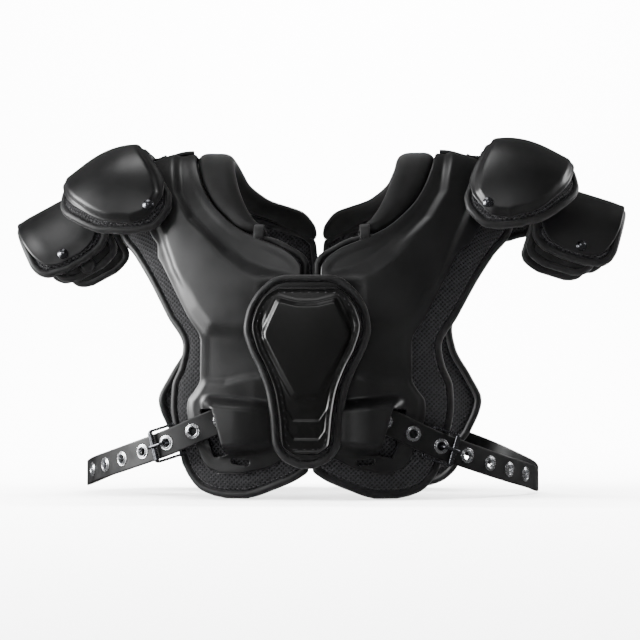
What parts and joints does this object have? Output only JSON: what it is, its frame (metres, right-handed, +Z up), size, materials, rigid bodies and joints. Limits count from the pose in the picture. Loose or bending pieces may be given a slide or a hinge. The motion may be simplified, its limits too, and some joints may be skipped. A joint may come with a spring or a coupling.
{
  "type": "football shoulder pad",
  "caption": "Black football shoulder pad with hard arches, padded neck, shoulder caps, arm flaps, a sternum plate and side belts.",
  "frame": {"origin": "on the ground that the four lower lobes stand on, under the middle of the whole", "axes": "+Z up, -Y towards what the wearer faces, +X towards the wearer's left"},
  "size_m": [0.6204, 0.2798, 0.3565],
  "materials": {
    "moulded_shell": "matt moulded black",
    "mesh_cloth": "black mesh over foam",
    "smooth_lining": "smooth black knit over foam",
    "webbing": "woven black webbing",
    "belt": "black coated belt",
    "nickel": "nickel plated",
    "gunmetal": "dark plated steel"
  },
  "bodies": {
    "root": {"body_pad_left": "mesh_cloth", "arch_shell_left": "moulded_shell", "collar_left": "smooth_lining", "cap_strap_left": "webbing", "flap_strap_left": "webbing", "lanyard_tab_left": "webbing", "lanyard_cord_left": "webbing", "cap_pad_left": "mesh_cloth", "cap_shell_left": "moulded_shell", "flap_pad_left": "mesh_cloth", "flap_shell_left": "moulded_shell", "under_pad_left": "mesh_cloth", "cap_stud_front_left": "gunmetal", "flap_stud_front_left": "gunmetal", "cap_stud_back_left": "gunmetal", "flap_stud_back_left": "gunmetal", "belt_left": "belt", "buckle_strap_left": "belt", "buckle_frame_left": "gunmetal", "buckle_tongue_left": "gunmetal", "grommet_1_left": "nickel", "grommet_2_left": "nickel", "grommet_3_left": "nickel", "grommet_4_left": "nickel", "grommet_5_left": "nickel", "grommet_6_left": "nickel", "grommet_7_left": "nickel", "body_pad_right": "mesh_cloth", "arch_shell_right": "moulded_shell", "collar_right": "smooth_lining", "cap_strap_right": "webbing", "flap_strap_right": "webbing", "lanyard_tab_right": "webbing", "lanyard_cord_right": "webbing", "cap_pad_right": "mesh_cloth", "cap_shell_right": "moulded_shell", "flap_pad_right": "mesh_cloth", "flap_shell_right": "moulded_shell", "under_pad_right": "mesh_cloth", "cap_stud_front_right": "gunmetal", "flap_stud_front_right": "gunmetal", "cap_stud_back_right": "gunmetal", "flap_stud_back_right": "gunmetal", "belt_right": "belt", "buckle_strap_right": "belt", "buckle_frame_right": "gunmetal", "buckle_tongue_right": "gunmetal", "grommet_1_right": "nickel", "grommet_2_right": "nickel", "grommet_3_right": "nickel", "grommet_4_right": "nickel", "grommet_5_right": "nickel", "grommet_6_right": "nickel", "grommet_7_right": "nickel", "sternum_pad": "mesh_cloth", "sternum_cover": "moulded_shell", "front_lace": "webbing", "back_lace": "webbing"}
  },
  "joints": []
}
